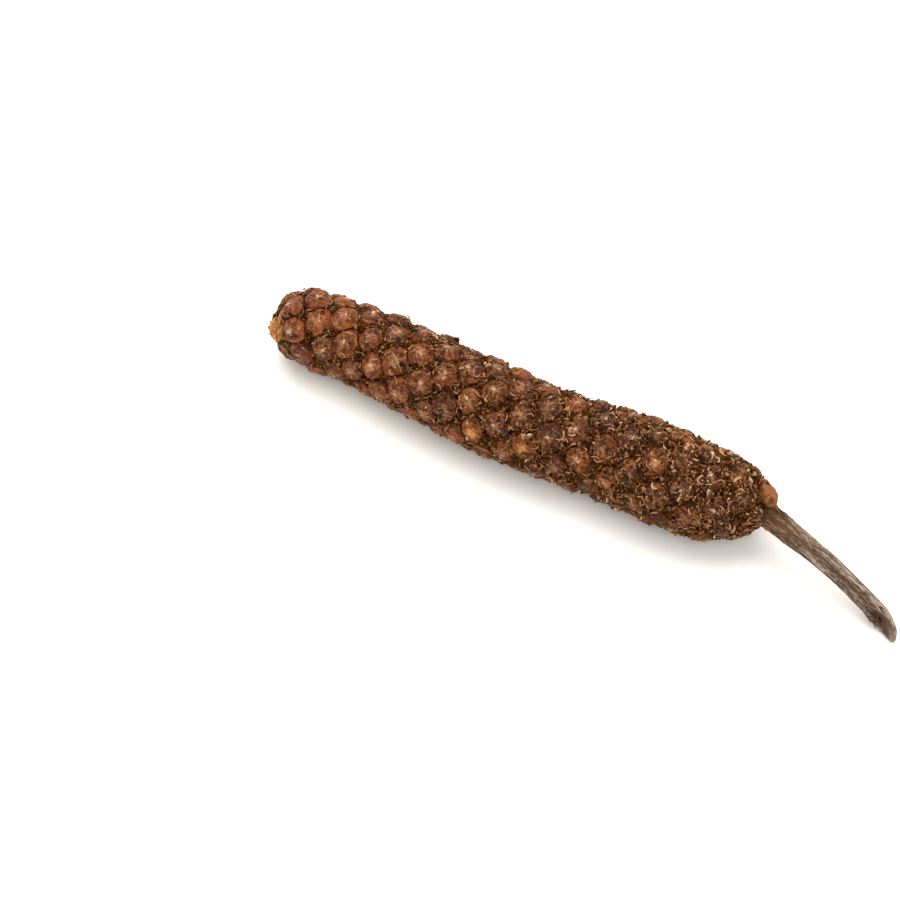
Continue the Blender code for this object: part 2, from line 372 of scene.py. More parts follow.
def placeBerries():
    draw = random.Random(spike["seed"])
    finish = random.Random(berryLook["seed"])
    least, atTip, gained, spread = berryLook["shrivelled"]
    stemPoints, _ = stemLine(np.linspace(0, 0.4, 30))
    berries = []
    for number in range(berryCount):
        size = 1 + spike["sizeSpread"] * draw.uniform(-1, 1)
        lift = spike["liftSpread"] * draw.uniform(-1, 1)
        drift = spike["drift"] * draw.uniform(-1, 1)
        draw.uniform(0, math.tau)  # the solid's berries draw a turn here, so the next draws stay in step
        station = stationOf(number)
        turn = spike["firstTurn"] + number * spike["turn"] + drift / bodyRadius(0)
        skin, outward = skinPoint(station, turn)
        along, around = sideways(outward)
        top = skin + outward * lift
        share = station / spike["length"]
        nearStem = np.linalg.norm(stemPoints - top, axis=1).min()
        berries.append({
            "number": number, "turn": turn, "share": share, "size": size, "outward": outward,
            "along": along, "around": around, "top": top,
            "centre": top - outward * spike["halfHeight"] * size,
            "squash": [1 + berryLook["squash"] * finish.uniform(-1, 1) for _ in range(2)],
            "tint": finish.random() + berryLook["tipGlow"] * max(0.5 - share, 0),
            "scar": finish.random() < berryLook["scarsAtTip"] - berryLook["scarsLost"] * share,
            "shrivel": max(least, atTip + gained * share + spread * finish.uniform(-1, 1)),
            "drawn": nearStem > berryLook["stalkClearance"],
            "ochre": 0.0, "plump": 0.0, "cap": 0.0,
        })
    for pixel, strength in berryLook["ochre"]:
        nearestBerry(berries, pixel).update(ochre=strength, tint=0.45 + 0.4 * strength**2)
    nearestBerry(berries, berryLook["capPixel"]).update(ochre=0.9, cap=0.75, shrivel=1.0, tint=0.9)
    plump = nearestBerry(berries, berryLook["plumpPixel"])
    plump.update(plump=1.0, shrivel=0.3, scar=False, tint=0.7, size=berryLook["plumpSize"])
    move = plump["outward"] * berryLook["plumpLift"] + plump["along"] * berryLook["plumpShift"]
    plump["top"] = plump["top"] + move
    plump["centre"] = plump["top"] - plump["outward"] * spike["halfHeight"] * plump["size"]
    return berries


def ringAround(distance, ring):
    middle, width = ring
    return np.exp(-((distance - middle) / width) ** 2)


def makeBerry(berry, berries, shape):
    look, number = berryLook, berry["number"]
    angles = np.linspace(0, look["lowestAngle"], look["rings"] + 1)[1:]
    turns = np.arange(look["sides"]) / look["sides"] * math.tau
    polar, turn = [grid.ravel() for grid in np.meshgrid(angles, turns, indexing="ij")]
    polar, turn = np.append(polar, 0), np.append(turn, 0)
    local = np.stack([np.sin(polar) * np.cos(turn), np.sin(polar) * np.sin(turn), np.cos(polar)], axis=1)
    ways = local @ np.array([berry["along"], berry["around"], berry["outward"]])
    wide = [look["halfWidth"] * squash for squash in berry["squash"]]
    half = np.array([*wide, look["halfHeight"]]) * berry["size"]
    free = 1 / np.linalg.norm(local / half, axis=1)
    soft = look["shoulder"]
    total = np.exp(-free / soft)
    for other in berries:
        offset = other["centre"] - berry["centre"]
        distance = np.linalg.norm(offset)
        if other is berry or distance > look["neighbourReach"]:
            continue
        facing = ways @ (offset / distance)
        share = berry["size"] / (berry["size"] + other["size"])
        contact = (distance * share - look["contactGap"]) / np.maximum(facing, look["leastFacing"])
        total += np.exp(-contact / soft)
    reach = -soft * np.log(total)
    reach[-1] = half[2]
    places = berry["centre"] + ways * reach[:, None]
    lumps = roughness(places, look["lumpSize"], number * 3.1)
    ridged = 1 - np.abs(roughness(places, look["wrinkleSize"], number * 1.7)) * look["sharpness"]
    least, change = look["wrinkledPatches"]
    wrinkled = np.clip(least + change * roughness(places, look["lumpSize"], number * 5.3), 0, 1)
    ridged = look["ridgeMiddle"] + (ridged - look["ridgeMiddle"]) * wrinkled
    crinkled = 0.5 - np.abs(roughness(places, look["crinkleSize"], number * 2.3)) * look["sharpness"]
    fine = roughness(places, look["fineSize"], 5.0)
    fromApex = np.sin(polar) * reach
    pleats = np.cos((6 + number % 4) * turn + 4 * lumps) * ringAround(fromApex, look["pleatRing"])
    rays = np.cos((9 + number % 5) * turn + 7 * lumps) * ringAround(fromApex, look["rayRing"])
    dip = look["scarDip"] * ringAround(fromApex, look["dipRing"]) if berry["scar"] else 0
    shrivel = berry["shrivel"]
    reach = (reach + look["lump"] * (0.55 + 0.6 * shrivel) * lumps
             + look["wrinkle"] * shrivel * (ridged - look["ridgeMiddle"])
             + look["crinkle"] * shrivel * wrinkled * crinkled
             + look["fine"] * shrivel * fine + look["pleat"] * pleats - dip)
    places = berry["centre"] + ways * reach[:, None]
    drop = half[2] - (places - berry["centre"]) @ berry["outward"]
    low = np.clip(drop / look["grooveDepth"], 0, 1)
    apex = np.maximum(ringAround(fromApex, look["apexRing"]), berry["cap"])
    places = np.vstack([places, berry["centre"] - berry["outward"] * look["bottomDepth"]])
    addTo(shape, places, closedFaces(look["rings"], look["sides"]), star=np.append(rays, 0),
          rise=np.append(ridged, 0), low=np.append(low, 1), tint=berry["tint"], share=berry["share"],
          ochre=berry["ochre"], plump=berry["plump"], apex=np.append(apex, 0))


# Drupe skin: thin flesh dried hard over a seed; red-brown with orange where it is thin, painted shade in
# the wrinkles and low on the sides, and on top a pale bloom of dust that also serves as a painted sheen
skinLook = {
    "flesh": ((0.3, "#180801"), (0.41, "#361306"), (0.5, "#5b2810"), (0.61, "#7b3c19"), (0.76, "#9d572b")),
    # pale dust that also serves as a painted sheen on each berry's top
    "dustAndSheen": "#b48a68",
    "grime": "#190c04",
    "rust": "#a5602a",
    # the wrinkles' crests: rubbed lighter, and a painted highlight
    "rubbedCrestHighlight": "#a9743f",
    "amber": "#cb8634",
    "ripe": "#a56639",
    # painted shade in the wrinkles' creases
    "creaseShade": "#240d03",
    "rim": "#a8713c",
    # painted shade low in the grooves between berries
    "grooveShade": "#190901",
    "mottleSize": 0.6,  # sizes of its patterns, in mm
    "dustAndSheenSize": 0.28,
    "grimeSize": 0.42,
    "patchSize": 3.2,
    "rustSize": 1.6,
    "poreSize": 0.14,
    "poreDepth": 0.09,
    # dried plant skin with some oil in it, whose cracks swallow much of the shine
    "shader": {"IOR": 1.47, "Specular IOR Level": 0.12},
}


def drupeSkin():
    material, tree, shader = newMaterial("driedDrupeSkin", skinLook)
    place = addNode(tree, "TexCoord", out="Object")
    star, tint, share, ochre, apex, rise, low, plump = [
        addNode(tree, "Attribute", out="Fac", attribute_name=name)
        for name in ("star", "tint", "share", "ochre", "apex", "rise", "low", "plump")]
    mottle, dustAndSheenNoise, grime, patches, rustNoise, pores = [
        addNode(tree, "TexNoise", {"Vector": place, "Scale": grain(skinLook[size]), "Detail": detail,
                                   "Roughness": rough, "Distortion": distortion})
        for size, detail, rough, distortion in (
            ("mottleSize", 8, 0.7, 0), ("dustAndSheenSize", 8, 0.8, 0), ("grimeSize", 8, 0.75, 0.8),
            ("patchSize", 3, 0.5, 0), ("rustSize", 6, 0.65, 0.5), ("poreSize", 6, 0.75, 0))]

    uneven = addNode(tree, "Math", [share, 0.1, 0.11], operation="MULTIPLY_ADD")
    centred = addNode(tree, "Math", [tint, -0.5], operation="ADD")
    level = addNode(tree, "Math", [centred, uneven, mottle], operation="MULTIPLY_ADD")
    colour = addNode(tree, "ValToRGB", [level], skinLook["flesh"])

    # the pale dust, which is also a painted sheen, lies thickest at each berry's top, and runs out from
    # there in rays
    rays = addNode(tree, "Math", [star, 0.045, dustAndSheenNoise], operation="MULTIPLY_ADD")
    dustAndSheenLevel = addNode(tree, "Math", [apex, 0.14, rays], operation="MULTIPLY_ADD")
    dustAndSheen = addNode(tree, "MapRange", [dustAndSheenLevel, 0.53, 0.74, 0, 0.9])
    # grime comes in wide patches, more of them towards the stalk
    widely = addNode(tree, "Math", [patches, 0.5, -0.295], operation="MULTIPLY_ADD")
    dull = addNode(tree, "Math", [share, 0.3, widely], operation="MULTIPLY_ADD")
    grimeLevel = addNode(tree, "Math", [dull, grime], operation="ADD")
    grimy = addNode(tree, "MapRange", [grimeLevel, 0.64, 0.82, 0, 0.85])
    # so do rust-brown patches, and the wrinkles' crests, lighter from rubbing and as a painted highlight
    rust = addNode(tree, "MapRange", [rustNoise, 0.54, 0.68, 0, 0.75])
    rusty = addNode(tree, "Math", [rust, share], operation="MULTIPLY")
    rubbedCrestHighlight = addNode(tree, "MapRange", [rise, 0.72, 1, 0, 0.75])
    crestHighlightHere = addNode(tree, "Math", [rubbedCrestHighlight, share], operation="MULTIPLY")
    # a few berries have their own colour
    warmth = addNode(tree, "MapRange", [apex, 0.4, 0.8, 0.06, 0.95])
    warm = addNode(tree, "Math", [ochre, warmth], operation="MULTIPLY")
    ripe = addNode(tree, "Math", [plump, 0.6], operation="MULTIPLY")
    # painted shade in the creases, a broken rim of stuck tissue low on the sides, and painted shade in the
    # grooves
    creaseShaded = addNode(tree, "MapRange", [rise, 0, 0.6, 0.6, 0])
    rimHeight = addNode(tree, "Math", [mottle, 1.3, -0.1], operation="MULTIPLY_ADD")
    rim = addNode(tree, "Math", [low, rimHeight, 0.09], operation="COMPARE")
    broken = addNode(tree, "MapRange", [rustNoise, 0.47, 0.57, 0, 0.65])
    rimmed = addNode(tree, "Math", [rim, broken], operation="MULTIPLY")
    # painted shade, deepest at the bottom of the grooves
    paintedShade = addNode(tree, "MapRange", [low, 0.5, 1, 0, 0.9])
    for mask, name in ((dustAndSheen, "dustAndSheen"), (grimy, "grime"), (rusty, "rust"), (crestHighlightHere, "rubbedCrestHighlight"),
                       (warm, "amber"), (ripe, "ripe"), (creaseShaded, "creaseShade"), (rimmed, "rim"),
                       (paintedShade, "grooveShade")):
        colour = addNode(tree, "Mix", {"Factor": mask, "A": colour, "B": hexToLinear(skinLook[name])},
                         out="Result", data_type="RGBA")
    tree.links.new(colour, shader.inputs["Base Color"])
    wear = addNode(tree, "MapRange", [dustAndSheenNoise, 0.35, 0.7, 0.3, 0.6])
    tree.links.new(wear, shader.inputs["Roughness"])
    bump = addNode(tree, "Bump", {"Height": pores, "Strength": 0.9,
                                  "Distance": skinLook["poreDepth"] * mm})
    tree.links.new(bump, shader.inputs["Normal"])
    return material


# Pit floor: the axis's dry fibrous skin between the berries, torn up and golden at its ridges, with painted
# shade darkening its hollows to near black
coreLook = {
    "sections": 330,
    "sides": 155,
    "depthAtTip": 0.5,
    "depthAtBase": 0.27,
    "leastRadius": 0.5,
    "roughness": 0.3,
    "lump": 0.36,
    "ends": 0.5,
    "colours": ((0.3, "#0f0601"), (0.52, "#241004"), (0.7, "#45240d"), (0.86, "#744519"), (1.0, "#a06f36")),
    "fibreSize": 0.2,
    "fibreDepth": 0.08,
    "shader": {"Roughness": 0.85, "Specular IOR Level": 0.02},
}


def makeCore(shape):
    look = coreLook
    stations = np.linspace(look["ends"], spike["length"] - look["ends"], look["sections"])
    turns = np.arange(look["sides"]) / look["sides"] * math.tau
    ring = np.stack([np.zeros_like(turns), np.cos(turns), np.sin(turns)], axis=1)
    points, middle = [], []
    for s in stations:
        share = s / spike["length"]
        depth = look["depthAtTip"] * (1 - share) + look["depthAtBase"] * share
        radius = max(outerRadius(s) - depth, look["leastRadius"])
        points.append(axisPoint(s) + ring * radius)
        middle.append(axisPoint(s))
    points = np.concatenate(points)
    away = points - np.repeat(np.array(middle), look["sides"], axis=0)
    away /= np.linalg.norm(away, axis=1)[:, None]
    ridged = 1 - 2.4 * np.abs(roughness(points, look["lump"], 3.0))
    rough = ridged * 0.6 + 0.7 * roughness(points, look["lump"] / 2.2, 8.0)
    points = points + away * (look["roughness"] * (rough - 0.35))[:, None]
    ends = [points[:look["sides"]].mean(0), points[-look["sides"]:].mean(0)]
    faces = [tuple(reversed(face)) for face in closedFaces(look["sections"], look["sides"])]
    addTo(shape, np.vstack([points, ends]), faces, rise=np.append(rough, [0, 0]))


def pitPith():
    material, tree, shader = newMaterial("driedPith", coreLook)
    place = addNode(tree, "TexCoord", out="Object")
    rise = addNode(tree, "Attribute", out="Fac", attribute_name="rise")
    fibre = addNode(tree, "TexNoise", {"Vector": place, "Scale": grain(coreLook["fibreSize"]), "Detail": 8,
                                       "Roughness": 0.75})
    # the lower the fibrous relief, the darker, to near black: painted shade in the hollows
    level = addNode(tree, "Math", [rise, 0.42, fibre], operation="MULTIPLY_ADD")
    colour = addNode(tree, "ValToRGB", [level], coreLook["colours"])
    tree.links.new(colour, shader.inputs["Base Color"])
    bump = addNode(tree, "Bump", {"Height": fibre, "Strength": 0.9,
                                  "Distance": coreLook["fibreDepth"] * mm})
    tree.links.new(bump, shader.inputs["Normal"])
    return material


# Bracts: small shield-shaped scales in the pits that dried into dark cups with a thin, torn, pale rim
bractLook = {
    "pitStep": 5.5,  # a pit lies this many berries on from its berry
    "pitTurn": math.radians(7.25),
    "bareEnd": 5,  # berries at the base with no pit beyond them
    "lift": 0.02,
    "radius": (0.13, 0.33),
    "rimHeight": (0.06, 0.2),
    "sides": 18,
    "tilt": 0.35,
    "extraAtTip": 0.3,
    "extraAtBase": 1.3,
    "extraReach": (0.7, 1.25),  # from a berry's top, in mm
    "extraTilt": 0.5,
    "seed": 33,
    # a cup from its middle over its rim and down its outside: radius share, height share, paleness
    "profile": ((0.3, 0.0, 0.0), (0.6, 0.05, 0.1), (0.8, 0.3, 0.35), (0.94, 0.75, 0.8), (1.02, 1.0, 1.0),
                (1.1, 0.95, 0.9), (1.08, 0.4, 0.5), (0.95, -0.8, 0.2), (0.6, -2.0, 0.0)),
    "colours": ((0.22, "#160a04"), (0.42, "#2a1608"), (0.64, "#5e3314"), (0.84, "#986431")),
    "paleRim": "#d3ae7b",
    "speckSize": 0.15,
    "speckDepth": 0.04,
    "shader": {"Roughness": 0.5, "Specular IOR Level": 0.05},
}


def turned(first, second, heading):  # a point in the plane, turned about the middle
    return (first * math.cos(heading) - second * math.sin(heading),
            first * math.sin(heading) + second * math.cos(heading))


def makeBract(place, outward, draw, shape, tilt):
    along, around = sideways(outward)
    outward = unit(outward + along * draw.uniform(-tilt, tilt) + around * draw.uniform(-tilt, tilt))
    along, around = sideways(outward)
    radius = draw.uniform(*bractLook["radius"])
    high = draw.uniform(*bractLook["rimHeight"])
    stretch = draw.uniform(0.65, 1.0)
    heading, phase = draw.uniform(0, math.tau), draw.uniform(0, 9)
    torn, gapWidth = draw.uniform(0, math.tau), draw.uniform(0.8, 2.4)
    sides, profile = bractLook["sides"], bractLook["profile"]
    points, edge = [], []
    for wide, height, pale in profile:
        for j in range(sides):
            turn = j / sides * math.tau
            wave = 1 + 0.18 * math.sin(3 * turn + phase) + 0.1 * math.sin(8 * turn + 2 * phase)
            gap = math.exp(-((math.remainder(turn - torn, math.tau) / gapWidth) ** 4))
            ragged = 0.3 * math.sin(4 * turn + phase * 3) + 0.2 * math.sin(9 * turn + phase)
            rim = (1 - gap) * (0.5 + ragged)
            first, second = turned(math.cos(turn) * stretch, math.sin(turn), heading)
            up = high * height * (rim if height > 0 else 1)
            points.append(place + (along * first + around * second) * radius * wide * wave + outward * up)
            edge.append(pale * (0.35 + 0.65 * rim))
    middle = [place - outward * 0.02, place - outward * high * 2.2]
    addTo(shape, np.vstack([points, middle]), closedFaces(len(profile), sides),
          edge=np.append(edge, [0, 0]), tint=draw.random())


def bractScale():
    material, tree, shader = newMaterial("bractScale", bractLook)
    place = addNode(tree, "TexCoord", out="Object")
    edge, tint = [addNode(tree, "Attribute", out="Fac", attribute_name=name) for name in ("edge", "tint")]
    speck = addNode(tree, "TexNoise", {"Vector": place, "Scale": grain(bractLook["speckSize"]), "Detail": 6,
                                       "Roughness": 0.75})
    level = addNode(tree, "Math", [speck, 0.5, edge], operation="MULTIPLY_ADD")
    scale = addNode(tree, "ValToRGB", [level], bractLook["colours"])
    pale = addNode(tree, "MapRange", [level, 0.82, 1.08, 0, 1])
    paleHere = addNode(tree, "Math", [pale, tint], operation="MULTIPLY")
    colour = addNode(tree, "Mix", {"Factor": paleHere, "A": scale, "B": hexToLinear(bractLook["paleRim"])},
                     out="Result", data_type="RGBA")
    tree.links.new(colour, shader.inputs["Base Color"])
    bump = addNode(tree, "Bump", {"Height": speck, "Strength": 0.7,
                                  "Distance": bractLook["speckDepth"] * mm})
    tree.links.new(bump, shader.inputs["Normal"])
    return material


# Papery shreds: torn bract rims and skins, curled crescents of golden-brown tissue round the berries
shredLook = {
    "thickness": 0.045,
    "steps": 8,
    "atTip": 7.0,
    "atBase": 15.0,
    "length": (0.28, 0.95),
    "width": (0.05, 0.22),
    "lean": (0.35, 1.5),
    "lift": 0.12,
    "edgeReach": (1.0, 1.35),  # from a berry's top, in mm
    "nearReach": (0.6, 1.3),
    "curl": (0.5, 3.3),
    "tints": (0.0, 0.9),
    "sink": 0.03,
    "sag": 0.55,  # how closely the strip follows the skin
    "jump": 0.6,  # it ends where the skin drops away by this much
    "seed": 45,
}
# wider rims that stand up as open curls with a dark hollow behind, mostly towards the stalk
curlLook = {
    "most": 7.0,
    "length": (0.45, 1.0),
    "width": (0.17, 0.38),
    "lean": (0.15, 1.0),
    "lift": 0.05,
    "edgeReach": (0.85, 1.35),
    "nearReach": (0.4, 1.1),
    "curl": (1.4, 3.4),
    "tints": (0.45, 1.0),
}
# the golden tissue that wraps the tip's last, empty flowers
capLook = {
    "count": 30,
    "length": (0.5, 1.2),
    "width": (0.12, 0.34),
    "lean": (0.6, 1.5),
    "lift": 0.05,
    "edgeReach": (0.6, 1.3),
    "nearReach": (0.2, 1.0),
    "curl": (0.5, 2.5),
    "tints": (0.6, 0.88),
    "shift": 0.5,  # how far over the tip it leans, in mm up the picture
}


def addRibbon(shape, line, ups, widths, thickness, **values):  # a thin closed strip along a line
    line = np.array(line)
    tangents = np.gradient(line, axis=0)
    tangents /= np.linalg.norm(tangents, axis=1)[:, None] + 1e-9
    across = np.cross(tangents, ups)
    across /= np.linalg.norm(across, axis=1)[:, None] + 1e-9
    high = ups * np.array(widths)[:, None] / 2
    thick = across * thickness / 2
    corners = np.stack([line + high + thick, line + high - thick, line - high - thick, line - high + thick],
                       axis=1)
    last = 4 * (len(line) - 1)
    faces = gridFaces(len(line), 4) + [(3, 2, 1, 0), tuple(last + j for j in range(4))]
    edge = np.tile([1.0, 1.0, 0.0, 0.0], len(line))
    addTo(shape, corners.reshape(-1, 3), faces, edge=edge, **values)


def makeShreds(berry, look, count, draw, shape, dropOn):
    along, around, outward = berry["along"], berry["around"], berry["outward"]
    steps, sag = shredLook["steps"], shredLook["sag"]
    for _ in range(int(count + draw.random())):
        length = draw.uniform(*look["length"])
        turn = draw.uniform(0, math.tau)
        near = draw.random() < 0.3 + 0.4 * berry["share"]
        reach = draw.uniform(*look["nearReach" if near else "edgeReach"])
        curl = draw.choice((-1, 1)) * draw.uniform(*look["curl"])
        wide = draw.uniform(*look["width"])
        lean = draw.uniform(*look["lean"])
        length = length * (1.25 - 0.5 * wide / look["width"][1])
        heading = turn + math.pi / 2 * draw.choice((-1, 1)) + draw.uniform(-0.5, 0.5)
        lift = wide * 0.3 + draw.uniform(0.0, look["lift"])
        darkest, palest = look["tints"]
        tint = darkest + (palest - darkest) * draw.random() ** 1.4
        line, ups, widths = [], [], []
        start = berry["top"] + (along * math.cos(turn) + around * math.sin(turn)) * reach
        base, normal = dropOn(start, outward)
        if base is None or normal @ outward < 0.2:
            continue
        for t in np.linspace(0, 1, steps):
            line.append(base + normal * (lift + 0.3 * length * (t - 0.5) ** 2 - shredLook["sink"]))
            way = along * math.cos(heading) + around * math.sin(heading)
            ups.append(unit(normal * math.cos(lean) + np.cross(normal, way) * math.sin(lean)))
            widths.append(wide * (0.12 + 0.88 * math.sin(math.pi * t) ** 0.8) * draw.uniform(0.55, 1.35))
            heading += curl / steps
            step = way - normal * (way @ normal)
            ahead = base + step / (np.linalg.norm(step) + 1e-9) * length / steps
            under, _ = dropOn(ahead, outward)
            if under is None or np.linalg.norm(under - ahead) > shredLook["jump"]:
                break
            base = ahead * (1 - sag) + under * sag
        if len(line) == steps:
            addRibbon(shape, line, np.array(ups), widths, shredLook["thickness"], tint=tint)


# One pale fibre that lies loose across a berry
strayLook = {
    "pixel": (388, 359),
    "across": 1.1,
    "down": 1.7,
    "bow": 0.18,
    "width": 0.1,
    "thickness": 0.05,
    "lift": 0.1,
    "steps": 12,
    "tint": 0.95,
}


def makeStray(berry, shape, dropOn):
    right, up, _ = viewAxes()
    look, steps = strayLook, strayLook["steps"]
    line, ups = [], []
    for t in np.linspace(-0.5, 0.5, steps):
        bow = look["bow"] * (1 - 4 * t * t)
        point = berry["top"] + right * (look["across"] * t + bow) - up * (look["down"] * t - bow)
        hit, normal = dropOn(point, berry["outward"])
        line.append(hit + normal * look["lift"])
        ups.append(right)
    inner = [(line[i - 1] + line[i] + line[i + 1]) / 3 for i in range(1, steps - 1)]
    widths = look["width"] * (1 - 0.7 * np.abs(np.linspace(-1, 1, steps)))
    line = [line[0], *inner, line[-1]]
    addRibbon(shape, line, np.array(ups), widths, look["thickness"], tint=look["tint"])


# Papery tissue: dry plant skin a few cells thick; brown, bleached to straw at its torn edge, and darkened
# on its lower edge and in a flake's middle as painted shade
tissueLook = {
    "colours": ((0.15, "#351a0b"), (0.4, "#65371a"), (0.62, "#96592a"), (0.76, "#bd8552"),
                (0.88, "#e0bb90")),
    # painted shade on a strip's lower edge and in a flake's middle
    "shaded": "#160902",
    "bleached": "#dfbf9a",
    "fleckSize": 0.3,
    "shader": {"Roughness": 0.62, "Specular IOR Level": 0.08},
}


def paperyTissue():
    material, tree, shader = newMaterial("paperyTissue", tissueLook)
    place = addNode(tree, "TexCoord", out="Object")
    tint, edge = [addNode(tree, "Attribute", out="Fac", attribute_name=name) for name in ("tint", "edge")]
    fleck = addNode(tree, "TexNoise", {"Vector": place, "Scale": grain(tissueLook["fleckSize"]),
                                       "Detail": 5})
    level = addNode(tree, "Mix", {"Factor": 0.3, "A": tint, "B": fleck})
    colour = addNode(tree, "ValToRGB", [level], tissueLook["colours"])
    # painted shade towards the strip's lower edge and the flake's middle and underside
    paintedShade = addNode(tree, "MapRange", [edge, 0, 1, 0.75, 0])
    edged = addNode(tree, "MapRange", [edge, 0.6, 1, 0, 0.9])
    flecked = addNode(tree, "Math", [edged, fleck], operation="MULTIPLY")
    bleached = addNode(tree, "Math", [flecked, tint], operation="MULTIPLY")
    for mask, name in ((paintedShade, "shaded"), (bleached, "bleached")):
        colour = addNode(tree, "Mix", {"Factor": mask, "A": colour, "B": hexToLinear(tissueLook[name])},
                         out="Result", data_type="RGBA")
    tree.links.new(colour, shader.inputs["Base Color"])
    return material


# Stigma scars: the flower's lobed stump, dried pale and corky at the top of a berry
scarLook = {
    "radius": (0.15, 0.25),
    "sides": 20,
    "rings": 3,
    "height": 0.06,
    "sink": 0.012,
    "root": 0.12,
    "shift": 0.2,
    "seed": 57,
    "colours": ((0.2, "#633b22"), (0.34, "#99714a"), (0.47, "#c6a279"), (0.62, "#dec49c")),
    "speckSize": 0.12,
    "shader": {"Roughness": 0.8},
}


def makeScar(berry, draw, shape, dropOn):
    shift = scarLook["shift"]
    moved = berry["along"] * draw.uniform(-shift, shift) + berry["around"] * draw.uniform(-shift, shift)
    hit, normal = dropOn(berry["top"] + moved, berry["outward"])
    if hit is None:
        return
    along, around = sideways(normal)
    radius, phase = draw.uniform(*scarLook["radius"]), draw.uniform(0, 9)
    stretch, heading = draw.uniform(1.0, 1.9), draw.uniform(0, math.tau)
    lobes = draw.choice((2, 3, 3, 4))
    sides, rings, height = scarLook["sides"], scarLook["rings"], scarLook["height"]
    points, edge = [], []
    for i in range(1, rings + 1):
        for j in range(sides):
            turn = j / sides * math.tau
            lobe = 1 + 0.16 * math.cos(lobes * turn + phase) + 0.16 * math.sin(5 * turn + phase * 2)
            reach = radius * lobe * i / rings
            first, second = turned(math.cos(turn) * stretch * reach, math.sin(turn) / stretch**0.3 * reach,
                                   heading)
            bulge = height * (1 - (i / rings) ** 3) * (0.6 + 0.5 * math.sin(4 * turn + phase))
            lift = bulge - scarLook["sink"]
            points.append(hit + along * first + around * second + normal * lift)
            edge.append(i / rings)
    middle = [hit + normal * height * 0.3, hit - normal * scarLook["root"]]
    addTo(shape, np.vstack([points, middle]), closedFaces(rings, sides), tint=draw.random(),
          edge=np.append(edge, [0, 1]))


def scarCork():
    material, tree, shader = newMaterial("scarCork", scarLook)
    place = addNode(tree, "TexCoord", out="Object")
    edge = addNode(tree, "Attribute", out="Fac", attribute_name="edge")
    speck = addNode(tree, "TexNoise", {"Vector": place, "Scale": grain(scarLook["speckSize"]), "Detail": 6,
                                       "Roughness": 0.7})
    fade = addNode(tree, "Math", [edge, -0.2, speck], operation="MULTIPLY_ADD")
    colour = addNode(tree, "ValToRGB", [fade], scarLook["colours"])
    tree.links.new(colour, shader.inputs["Base Color"])
    return material


# Crumbs: broken bits of bract and skin that cling everywhere
crumbLook = {
    "count": 3600,
    "size": (0.03, 0.1),
    "length": (0.8, 2.2),  # shares of its size
    "width": (0.5, 1.1),
    "height": (0.25, 0.6),
    "raggedness": (0.6, 1.4),
    "lift": 0.2,
    "seed": 63,
}


def makeCrumbs(shape, dropOn):
    draw = random.Random(crumbLook["seed"])
    octahedron = np.array([(1, 0, 0), (-1, 0, 0), (0, 1, 0), (0, -1, 0), (0, 0, 1), (0, 0, -1)], float)
    faces = [(0, 2, 4), (2, 1, 4), (1, 3, 4), (3, 0, 4), (2, 0, 5), (1, 2, 5), (3, 1, 5), (0, 3, 5)]
    for _ in range(crumbLook["count"]):
        number = draw.random() ** 0.75 * berryCount
        skin, outward = skinPoint(stationOf(number), draw.uniform(0, math.tau))
        hit, normal = dropOn(skin, outward)
        if hit is None:
            continue
        along, around = sideways(normal)
        turn = draw.uniform(0, math.tau)
        first = along * math.cos(turn) + around * math.sin(turn)
        second = np.cross(normal, first)
        size = draw.uniform(*crumbLook["size"])
        scaled = octahedron * np.array([size * draw.uniform(*crumbLook[side])
                                        for side in ("length", "width", "height")])
        jitter = np.array([[draw.uniform(*crumbLook["raggedness"]) for _ in range(3)] for _ in octahedron])
        middle = hit + normal * size * crumbLook["lift"]
        points = middle + (scaled * jitter) @ np.array([first, second, normal])
        addTo(shape, points, faces, tint=draw.random() ** 1.8, edge=1.0)


# Flakes: crumpled scraps of bract and skin that fill the grooves, and near the stalk cover the berries too
flakeLook = {
    "count": 5200,
    "size": (0.08, 0.3),
    "sides": 7,
    "tilt": 0.8,
    "stretch": (0.4, 1.0),
    "raggedness": (0.5, 1.35),
    "crumple": 0.65,
    "grooveDepth": 0.4,  # at the tip they lie only this deep
    "seed": 83,
}


def makeFlakes(shape, dropOn):
    draw = random.Random(flakeLook["seed"])
    sides, tilt = flakeLook["sides"], flakeLook["tilt"]
    faces = closedFaces(1, sides)
    for _ in range(flakeLook["count"]):
        share = draw.random() ** 0.72
        skin, outward = skinPoint(stationOf(share * berryCount), draw.uniform(0, math.tau))
        hit, normal = dropOn(skin, outward)
        if hit is None or normal @ outward < 0.1:
            continue
        if (skin - hit) @ outward < flakeLook["grooveDepth"] * (1.3 - share):
            continue
        along, around = sideways(normal)
        tilted = unit(normal + along * draw.uniform(-1, 1) * tilt + around * draw.uniform(-1, 1) * tilt)
        along, around = sideways(tilted)
        size = draw.uniform(*flakeLook["size"]) * (0.7 + 0.4 * share)
        stretch, phase = draw.uniform(*flakeLook["stretch"]), draw.uniform(0, math.tau)
        points = []
        for j in range(sides):
            turn = phase + (j + draw.uniform(-0.3, 0.3)) / sides * math.tau
            reach = size * draw.uniform(*flakeLook["raggedness"])
            points.append(hit + (along * math.cos(turn) * stretch + around * math.sin(turn)) * reach
                          + tilted * size * draw.uniform(0.0, flakeLook["crumple"]))
        points += [hit + tilted * size * draw.uniform(-0.1, 0.2), hit - tilted * size * 0.4]
        addTo(shape, np.array(points), faces, tint=draw.random() ** 1.7,
              edge=np.append(np.ones(sides), [0, 0]))


# Stalk: a woody stem that dried with its fibres standing, weathered grey outside, brown in its furrow
def stemFrames(line):
    tangents = np.gradient(line, axis=0)
    tangents /= np.linalg.norm(tangents, axis=1)[:, None]
    side = np.cross(tangents, [0, 0, 1.0])
    side /= np.linalg.norm(side, axis=1)[:, None]
    return tangents, side, np.cross(side, tangents)


